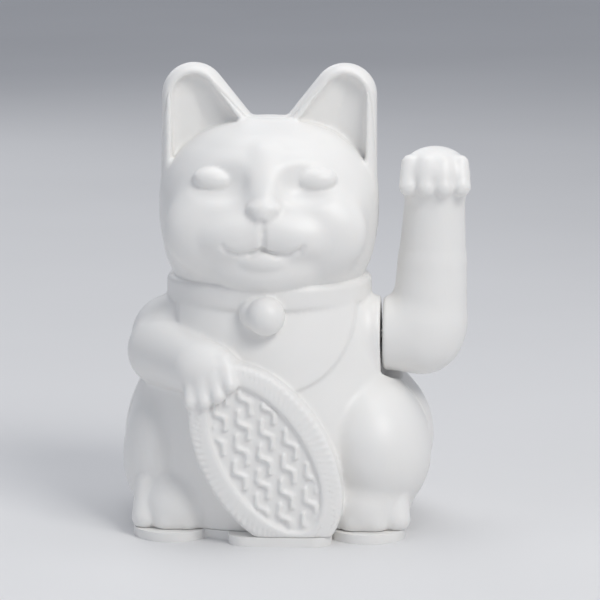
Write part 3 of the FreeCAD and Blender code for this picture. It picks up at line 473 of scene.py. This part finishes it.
def muzzle_and_mouth(field):
    """Muzzle pads, chin, nose, lower lip, and the grooves between them."""
    for side in (-1, 1):
        field.add(ball((side * 7.2, FACE_Y + 1.2, 98.0), (11.0, 5.4, 6.4), turn=side * 10), 4.2)
    field.add(ball((0, FACE_Y + 4.4, 86.0), (13.0, 6.0, 6.0)), 6.0)
    nose = skin_y(field, 0, 106.6)
    field.add(ball((0, nose + 1.0, 107.0), (4.9, 3.0, 2.6)), 1.6)
    field.add(ball((0, nose + 0.4, 105.0), (2.8, 2.4, 2.2)), 1.4)
    lip = skin_y(field, 0, 90.4)
    field.add(ball((0, lip + 2.4, 90.2), (8.6, 4.2, 3.9)), 0.8)
    philtrum = on_skin(field, [(0, 103.0), (0, 100.0), (0, 97.0), (0, MOUTH_Z)])
    for groove in chain(philtrum, 0.8):
        field.carve(groove, 1.0)
    for side in (-1, 1):
        half_mouth = [(0, MOUTH_Z), (4, 92.9), (8.4, 92.5), (11.4, 93.8), (12.8, 95.4)]
        places = [(side * x, z) for x, z in half_mouth]
        for groove in chain(on_skin(field, places), 0.75):
            field.carve(groove, 0.8)


COIN = {"x": 1.0, "z": 28.2, "long": 33.5, "wide": 20.0, "lean": 32.0, "face": -43.3, "rim": 6.6}
RIM_SCORES = 84         # fine radial marks round the coin's rim


def coin_axes(x, z):
    """Along and across the coin's oval, from its middle."""
    c, s = math.cos(math.radians(COIN["lean"])), math.sin(math.radians(COIN["lean"]))
    dx, dz = x - COIN["x"], z - COIN["z"]
    return s * dx - c * dz, c * dx + s * dz


def coin_form():
    """A thick oval coin with a milled rim and plain wave relief in its sunk field."""
    reach = COIN["long"] + 2
    low = np.array([COIN["x"] - reach, COIN["face"] - 2, FLOOR_Z - 4])
    high = np.array([COIN["x"] + reach, -20, COIN["z"] + reach])

    def distance(x, y, z):
        along, across = coin_axes(x, z)
        outer = oval_gap(along, across, COIN["long"], COIN["wide"])
        inner = oval_gap(along, across, COIN["long"] - COIN["rim"], COIN["wide"] - COIN["rim"])
        front = COIN["face"] + 0.06 * across - y
        angle = np.arctan2(across / COIN["wide"], along / COIN["long"])
        teeth = np.clip(np.cos(angle * RIM_SCORES) * 1.4, -1, 1)
        on_rim = np.clip(inner / 1.4 - 0.4, 0, 1)
        notch = 0.16 * (1 - teeth) * on_rim
        slope = 0.16 * np.clip(inner - 2.0, 0, None)
        sunk = 1.4 * np.clip(-inner / 0.9, 0, 1)
        relief = coin_relief(along, across) * np.clip(-inner / 1.5 - 0.6, 0, 1)
        return smooth_max(outer + 0.05 * (1 - teeth), front + notch + slope + sunk - relief, 1.6)

    return low, high, distance


def coin_relief(along, across):
    """Broken wavy strokes, like ripples, that carry no lettering."""
    pitch, stroke, wavelength, swing = 4.7, 13.0, 6.5, 0.9
    end_gap, half_line, height = 2.0, 0.95, 1.2
    row = np.round(across / pitch)
    place = along + stroke * 0.5 * (np.mod(row, 2) == 1)
    wave = across - pitch * row - swing * np.sin(place * 2 * math.pi / wavelength)
    within = np.abs(place - stroke * np.round(place / stroke)) - (stroke * 0.5 - end_gap)
    gap = np.sqrt(np.clip(within, 0, None) ** 2 + wave ** 2) - half_line
    return height * np.clip(-gap / 0.6 + 0.3, 0, 1)


FOUR = (-1.5, -0.5, 0.5, 1.5)     # places of four toes or fingers, in steps from the middle


def feet_and_haunches(field):
    """Rounded hips, the two bent knees, and the feet with their toes."""
    for x, radii in ((-26.3, (21.2, 30.0, 24.5)), (29.4, (24.2, 30.0, 25.0))):
        field.add(ball((x, 6.0, 27.0), radii), 7.0)
    field.add(ball((34.8, -13.0, 27.0), (18.2, 24.5, 22.5), turn=-10), 2.2)
    field.add(ball((-33.0, -9.0, 24.5), (14.2, 20.0, 21.5), turn=6), 1.4)
    for x in (-28.0, 32.0):
        field.add(ball((x, -19.0, 9.0), (14.4, 17.0, 13.4)), 3.0)
        for i in FOUR:
            bow = math.sqrt(1 - (i * 6.7 / 16.5) ** 2)
            y = -20.0 - 12.0 * bow
            toe = bar((x + i * 6.5, y + 4.4, 16.0), (x + i * 6.9, y + 0.8, 6.0), 4.2, 4.5)
            field.add(toe, 0.8)


def resting_arm(field):
    """The cat's right arm, with its paw and four fingers on the coin."""
    field.add(ball((-31.8, -4.0, 60.0), (13.2, 16.0, 14.2)), 2.6)
    field.add(bar((-33.4, -12.0, 57.5), (-21.0, -33.0, 56.0), 12.0, 9.2), 1.4)
    field.add(ball((-17.0, -36.0, 55.2), (8.2, 7.4, 9.0), turn=38), 3.0)
    roots = [(-22.4, -37.4, 54.5), (-19.0, -39.2, 55.6), (-15.6, -39.6, 57.2), (-12.4, -38.8, 59.2)]
    tips = [(-22.4, -42.4, 46.4), (-18.2, -43.6, 46.8), (-13.8, -44.0, 48.8), (-10.0, -43.6, 52.2)]
    for root, tip in zip(roots, tips):
        field.add(bar(root, tip, 3.1, 2.4), 1.3)


def tail(field):
    """A low tail lying round the back of the right haunch."""
    points = [
        (2.0, 38.5, 7.5),
        (-14.0, 37.6, 8.5),
        (-26.0, 33.5, 13.0),
        (-33.0, 28.5, 21.0),
        (-32.0, 29.0, 29.0),
    ]
    for piece in chain(points, 4.6):
        field.add(piece, 3.0)


def collar_and_bell(field):
    field.add(collar_band(73.4, 81.4, 33.3, 31.4, -0.6, 1.9, 1.8), 0.5)
    field.add(ball((-2.8, -32.0, 73.4), (5.0, 3.4, 5.0)), 0.5)
    field.add(ball((0.8, -34.0, 72.8), (6.2, 6.2, 6.2)), 0.3)


def head_with_ears(low, high):
    head = Field(low, high, BODY_CELL)
    head.add(oval_stack(head_levels(), 2.15), 1.0)
    eyes_and_bridge(head)
    muzzle_and_mouth(head)
    for side in (-1, 1):
        one = Field(low, high, BODY_CELL)
        one.add(ear(side), 0.5)
        one.carve(ear_hollow(side), 1.6)
        head.value = smooth_min(head.value, one.value, 1.2)
    return head


def body_outside():
    """The whole outside of the body, with room cleared for the arm's shoulder."""
    low = (-51, -50, FLOOR_Z - 4)
    high = (57, 46, EAR_TIP_Z + 3)
    field = Field(low, high, BODY_CELL)
    field.add(oval_stack(trunk_levels(), 2.1), 1.0)
    raise_bib(field)
    feet_and_haunches(field)
    tail(field)
    field.add(coin_form(), 0.5)
    resting_arm(field)
    field.add(drum_x(SHOULDER_FACE_X - 14, SHOULDER_FACE_X, AXIS_Y, AXIS_Z, 12.6), 3.0)
    field.value = smooth_min(field.value, head_with_ears(low, high).value, 0.8)
    collar_and_bell(field)
    x, y, z = field.grid()
    turning = np.sqrt((y - AXIS_Y) ** 2 + (z - AXIS_Z) ** 2) - SHOULDER_RELIEF
    relief = np.maximum(turning, SHOULDER_FACE_X - x)
    field.value = smooth_max(field.value, -relief, 0.8)
    return field


def with_screw_posts(half, field, posts):
    """Adds each screw post inside the body and bores it for its screw."""
    x, y, z = field.grid()
    for px, py in posts:
        around = np.sqrt((x - px) ** 2 + (y - py) ** 2)
        post = np.maximum(np.maximum(around - POST_RADIUS, z - POST_TOP_Z), field.value + 0.5)
        half = np.minimum(half, post)
        half = np.maximum(half, -np.maximum(around - SCREW_HOLE_RADIUS, z - SCREW_HOLE_TOP_Z))
    return half


def body_shells(material):
    """The hollow body, split at the seam into its front and rear shells."""
    field = body_outside()
    x, y, z = field.grid()
    wall = np.maximum(field.value, -(field.value + BODY_WALL))
    around = np.sqrt((y - AXIS_Y) ** 2 + (z - AXIS_Z) ** 2)
    hole = np.maximum(around - AXLE_HOLE_RADIUS, AXLE_HOLE_START_X - x)
    wall = np.maximum(wall, -hole)
    for name in ("front_shell", "rear_shell"):
        front = name == "front_shell"
        posts = [(px, py) for px, py in SCREW_POSTS if (py < SEAM_Y) == front]
        half = with_screw_posts(wall, field, posts)
        half = smooth_max(half, FLOOR_Z + 0.02 - z, 0.5)
        beyond = y - SEAM_Y if front else SEAM_Y - y
        half = smooth_max(half, beyond + SEAM_GAP, 0.4)
        piece = piece_from_field("body_" + name, half.astype(np.float32), field, material)
        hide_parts(name)
        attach(piece, "body")


# ---- Waving arm ----
def arm_field():
    """Upper arm along X, elbow, upright forearm, and the paw bent forward."""
    low = (ARM_FACE_X - 3, AXIS_Y - 24, AXIS_Z - 17)
    high = (72, AXIS_Y + 17, 131)
    field = Field(low, high, ARM_CELL)
    field.add(bar((ARM_FACE_X - 8, AXIS_Y, AXIS_Z), (48.0, AXIS_Y, AXIS_Z + 0.5), 11.8, 12.2), 1.0)
    field.add(ball((50.8, AXIS_Y, AXIS_Z + 1.6), (12.8, 12.2, 13.6)), 5.0)
    field.add(bar((52.2, AXIS_Y, AXIS_Z + 6), (53.0, AXIS_Y, 86.0), 12.2, 11.2), 3.0)
    field.add(bar((53.0, AXIS_Y, 86.0), (53.8, AXIS_Y - 0.5, 108.0), 11.0, 9.6), 0.8)
    field.add(ball((53.8, AXIS_Y - 1.8, 114.6), (11.3, 10.8, 9.2)), 4.0)
    for i in FOUR:
        x = 53.8 + i * 5.6
        bow = math.sqrt(1 - (i * 5.6 / 12.8) ** 2)
        y = AXIS_Y - 1.8 - 9.6 * bow
        field.add(bar((x - i * 0.3, y + 3.2, 118.6), (x, y + 0.4, 111.6), 2.9, 3.1), 1.1)
    across = field.grid()[0]
    field.value = smooth_max(field.value, ARM_FACE_X - across, 1.6)
    return field


def arm_shells(material):
    """The hollow arm with its hub socket, split into two shells."""
    field = arm_field()
    x, y, z = field.grid()
    around = np.sqrt((y - AXIS_Y) ** 2 + (z - AXIS_Z) ** 2)
    wall = np.maximum(field.value, -(field.value + ARM_WALL))
    hub_radius, hub_end = (HUB_HIGH[2] - HUB_LOW[2]) / 2, HUB_HIGH[0]
    socket = np.maximum(np.maximum(around - hub_radius - ARM_WALL, x - hub_end), field.value)
    wall = np.maximum(np.minimum(wall, socket), -np.maximum(around - hub_radius, x - hub_end))
    for name, side in (("arm_front_shell", y - AXIS_Y), ("arm_rear_shell", AXIS_Y - y)):
        half = smooth_max(wall, side + ARM_SEAM_GAP, 0.3)
        piece = piece_from_field("waving_" + name, half.astype(np.float32), field, material)
        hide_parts(name)
        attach(piece, "arm")


# ---- Materials ----
def new_material(name):
    material = bpy.data.materials.new(name)
    material.use_nodes = True
    nodes = material.node_tree.nodes
    return material, nodes, material.node_tree.links, nodes["Principled BSDF"]


def object_noise(nodes, links, scale, detail=4.0, stretch=(1, 1, 1)):
    """Noise in the piece's own space, in features per metre."""
    place = nodes.new("ShaderNodeTexCoord")
    mapping = nodes.new("ShaderNodeMapping")
    mapping.inputs["Scale"].default_value = stretch
    noise = nodes.new("ShaderNodeTexNoise")
    noise.inputs["Scale"].default_value = scale
    noise.inputs["Detail"].default_value = detail
    links.new(place.outputs["Object"], mapping.inputs["Vector"])
    links.new(mapping.outputs["Vector"], noise.inputs["Vector"])
    return noise.outputs["Fac"]


def spread(nodes, links, source, low, high):
    """Maps a 0.3 to 0.7 noise onto low to high."""
    ramp = nodes.new("ShaderNodeMapRange")
    ramp.inputs["From Min"].default_value = 0.3
    ramp.inputs["From Max"].default_value = 0.7
    ramp.inputs["To Min"].default_value = low
    ramp.inputs["To Max"].default_value = high
    links.new(source, ramp.inputs["Value"])
    return ramp.outputs["Result"]


def mixed_colour(nodes, links, factor, first, second):
    mix = nodes.new("ShaderNodeMix")
    mix.data_type = "RGBA"
    mix.inputs["A"].default_value = (*first, 1)
    mix.inputs["B"].default_value = (*second, 1)
    links.new(factor, mix.inputs["Factor"])
    return mix.outputs["Result"]


def add_bump(nodes, links, shader, height, strength, distance):
    bump = nodes.new("ShaderNodeBump")
    bump.inputs["Strength"].default_value = strength
    bump.inputs["Distance"].default_value = distance
    links.new(height, bump.inputs["Height"])
    links.new(bump.outputs["Normal"], shader.inputs["Normal"])


def plastic(name, colour, roughness=0.42, shade=0.93, grain=2600.0, grain_depth=0.00002):
    """Moulded plastic: faint cloudiness, uneven gloss and a fine moulded grain."""
    material, nodes, links, shader = new_material(name)
    cloud = spread(nodes, links, object_noise(nodes, links, 38.0), 0.0, 1.0)
    darker = tuple(c * shade for c in colour)
    links.new(mixed_colour(nodes, links, cloud, colour, darker), shader.inputs["Base Color"])
    links.new(
        spread(nodes, links, object_noise(nodes, links, 90.0, 6.0), roughness - 0.05, roughness + 0.08),
        shader.inputs["Roughness"],
    )
    add_bump(nodes, links, shader, object_noise(nodes, links, grain, 2.0), 0.25, grain_depth)
    return material


def white_plastic():
    material = plastic("white_satin_plastic", (0.86, 0.852, 0.835), 0.40, 0.975)
    shader = material.node_tree.nodes["Principled BSDF"]
    shader.inputs["Subsurface Weight"].default_value = 0.12
    shader.inputs["Subsurface Radius"].default_value = (0.004, 0.0034, 0.003)
    shader.inputs["Subsurface Scale"].default_value = 0.5
    shader.inputs["IOR"].default_value = 1.46
    return material


def metal(name, colour, roughness=0.3, stretch=(1, 1, 1), scale=900.0):
    material, nodes, links, shader = new_material(name)
    shader.inputs["Metallic"].default_value = 1.0
    wear = spread(nodes, links, object_noise(nodes, links, 160.0, 5.0), 0.0, 1.0)
    darker = tuple(c * 0.78 for c in colour)
    links.new(mixed_colour(nodes, links, wear, colour, darker), shader.inputs["Base Color"])
    brushed = object_noise(nodes, links, scale, 4.0, stretch)
    gloss = spread(nodes, links, brushed, roughness - 0.08, roughness + 0.12)
    links.new(gloss, shader.inputs["Roughness"])
    add_bump(nodes, links, shader, brushed, 0.2, 0.00002)
    return material


def copper_winding():
    """Fine lacquered turns, as ridges round the coil's axis."""
    material, nodes, links, shader = new_material("copper_winding")
    place = nodes.new("ShaderNodeTexCoord")
    wave = nodes.new("ShaderNodeTexWave")
    wave.wave_type = "BANDS"
    wave.bands_direction = "Z"
    wave.inputs["Scale"].default_value = 1400.0
    wave.inputs["Distortion"].default_value = 0.6
    links.new(place.outputs["Object"], wave.inputs["Vector"])
    colour = mixed_colour(nodes, links, wave.outputs["Fac"], (0.55, 0.20, 0.08), (0.83, 0.38, 0.17))
    links.new(colour, shader.inputs["Base Color"])
    shader.inputs["Metallic"].default_value = 0.85
    gloss = spread(nodes, links, object_noise(nodes, links, 500.0), 0.22, 0.38)
    links.new(gloss, shader.inputs["Roughness"])
    add_bump(nodes, links, shader, wave.outputs["Fac"], 0.6, 0.00012)
    return material


def board_green():
    """Solder mask with faint woven glass under it."""
    material, nodes, links, shader = new_material("circuit_board_green")
    weave = object_noise(nodes, links, 1500.0, 2.0, (1, 0.25, 1))
    colour = mixed_colour(nodes, links, weave, (0.02, 0.16, 0.07), (0.05, 0.27, 0.12))
    links.new(colour, shader.inputs["Base Color"])
    gloss = spread(nodes, links, object_noise(nodes, links, 300.0), 0.25, 0.45)
    links.new(gloss, shader.inputs["Roughness"])
    add_bump(nodes, links, shader, weave, 0.3, 0.00003)
    return material


def dress_nodes(white):
    """Gives each carried-over CAD node its material."""
    steel = metal("bright_steel", (0.72, 0.72, 0.71), 0.28, (1, 8, 8))
    dark_steel = metal("blackened_spring_steel", (0.16, 0.16, 0.17), 0.38)
    zinc = metal("zinc_plated_screws", (0.70, 0.71, 0.70), 0.32)
    dressing = {
        "base_plate": white,
        "battery_door": white,
        "arm_hub": plastic("hub_ivory_plastic", (0.74, 0.71, 0.62), 0.45),
        "swing_axle": steel,
        "stop_pins": steel,
        "bearing_bushes": metal("brass_bushes", (0.80, 0.60, 0.28), 0.30),
        "retaining_clips": dark_steel,
        "mechanism_frame": plastic("frame_black_plastic", (0.035, 0.035, 0.038), 0.5, 0.8),
        "frame_screws": zinc,
        "board_screws": zinc,
        "base_screws": zinc,
        "pendulum_lever": plastic("lever_blue_plastic", (0.06, 0.17, 0.42), 0.40, 0.85),
        "pendulum_magnet": metal("nickel_magnet", (0.74, 0.73, 0.70), 0.18),
        "counterweight": metal("cast_weight_steel", (0.38, 0.38, 0.39), 0.48, (1, 1, 5)),
        "coil_bobbin": plastic("bobbin_natural_plastic", (0.78, 0.74, 0.62), 0.45),
        "coil_winding": copper_winding(),
        "circuit_board": board_green(),
        "capacitor": plastic("capacitor_sleeve", (0.03, 0.05, 0.14), 0.3, 0.8),
        "drive_transistor": plastic("transistor_epoxy", (0.02, 0.02, 0.02), 0.55, 0.7),
        "resistors": plastic("resistor_lacquer", (0.62, 0.50, 0.32), 0.35, 0.85),
        "battery_cell": metal("cell_jacket", (0.10, 0.28, 0.20), 0.34),
        "positive_contact": steel,
        "battery_spring": steel,
        "lead_red": plastic("lead_red_pvc", (0.50, 0.02, 0.02), 0.4, 0.85),
        "lead_black": plastic("lead_black_pvc", (0.02, 0.02, 0.02), 0.4, 0.8),
    }
    for name, material in dressing.items():
        mesh = frame["nodes"][name].data
        mesh.materials.clear()
        mesh.materials.append(material)


# ---- Surroundings ----
def make_floor():
    radius, sides = 6.0, 64
    mesh = bpy.data.meshes.new("floor")
    turns = [2 * math.pi * i / sides for i in range(sides)]
    points = [(radius * math.cos(t), radius * math.sin(t), 0.0) for t in turns]
    mesh.from_pydata(points, [], [list(range(sides))])
    material, nodes, links, shader = new_material("studio_floor")
    tone = spread(nodes, links, object_noise(nodes, links, 3.0), 0.0, 1.0)
    colour = mixed_colour(nodes, links, tone, (0.72, 0.72, 0.725), (0.76, 0.76, 0.765))
    links.new(colour, shader.inputs["Base Color"])
    shader.inputs["Roughness"].default_value = 0.7
    mesh.materials.append(material)
    floor = bpy.data.objects.new("studio_floor", mesh)
    bpy.context.scene.collection.objects.link(floor)


def area_light(name, place, target, size, watts, colour=(1, 1, 1)):
    data = bpy.data.lights.new(name, "AREA")
    data.shape = "RECTANGLE"
    data.size, data.size_y = size
    data.energy = watts
    data.color = colour
    light = bpy.data.objects.new(name, data)
    light.location = place
    light.rotation_euler = (Vector(target) - Vector(place)).to_track_quat("-Z", "Y").to_euler()
    bpy.context.scene.collection.objects.link(light)


def light_the_scene():
    world = bpy.data.worlds.new("studio_world")
    world.use_nodes = True
    background = world.node_tree.nodes["Background"]
    background.inputs["Color"].default_value = (0.86, 0.90, 1.0, 1)
    background.inputs["Strength"].default_value = 0.38
    bpy.context.scene.world = world
    target = (0, 0, 0.08)
    area_light("key", (0.55, -0.62, 0.85), target, (0.45, 0.45), 6.0, (1.0, 0.985, 0.955))
    area_light("top", (0.05, 0.10, 0.95), target, (0.7, 0.5), 2.4)
    area_light("fill", (-0.8, -0.6, 0.35), target, (0.6, 0.8), 0.9, (0.94, 0.97, 1.0))
    area_light("back", (-0.4, 0.9, 0.6), target, (0.6, 0.6), 1.4)
    bpy.context.scene.view_settings.view_transform = "Standard"
    bpy.context.scene.view_settings.exposure = 0.0


def place_camera():
    low, high = CAD_BOUNDS
    azimuth, elevation, distance = math.radians(3.0), math.radians(10.0), 1.15
    sensor_mm, view_width = 36.0, 0.195
    target = Vector(((low[0] + high[0]) / 2, (low[1] + high[1]) / 2, high[2] * 0.49))
    away = Vector((
        math.sin(azimuth) * math.cos(elevation),
        -math.cos(azimuth) * math.cos(elevation),
        math.sin(elevation),
    ))
    data = bpy.data.cameras.new("camera")
    data.lens = sensor_mm * distance / view_width
    camera = bpy.data.objects.new("camera", data)
    camera.location = target + away * distance
    camera.rotation_euler = (-away).to_track_quat("-Z", "Y").to_euler()
    bpy.context.scene.collection.objects.link(camera)
    bpy.context.scene.camera = camera


white = white_plastic()
body_shells(white)
arm_shells(white)
dress_nodes(white)
make_floor()
light_the_scene()
place_camera()
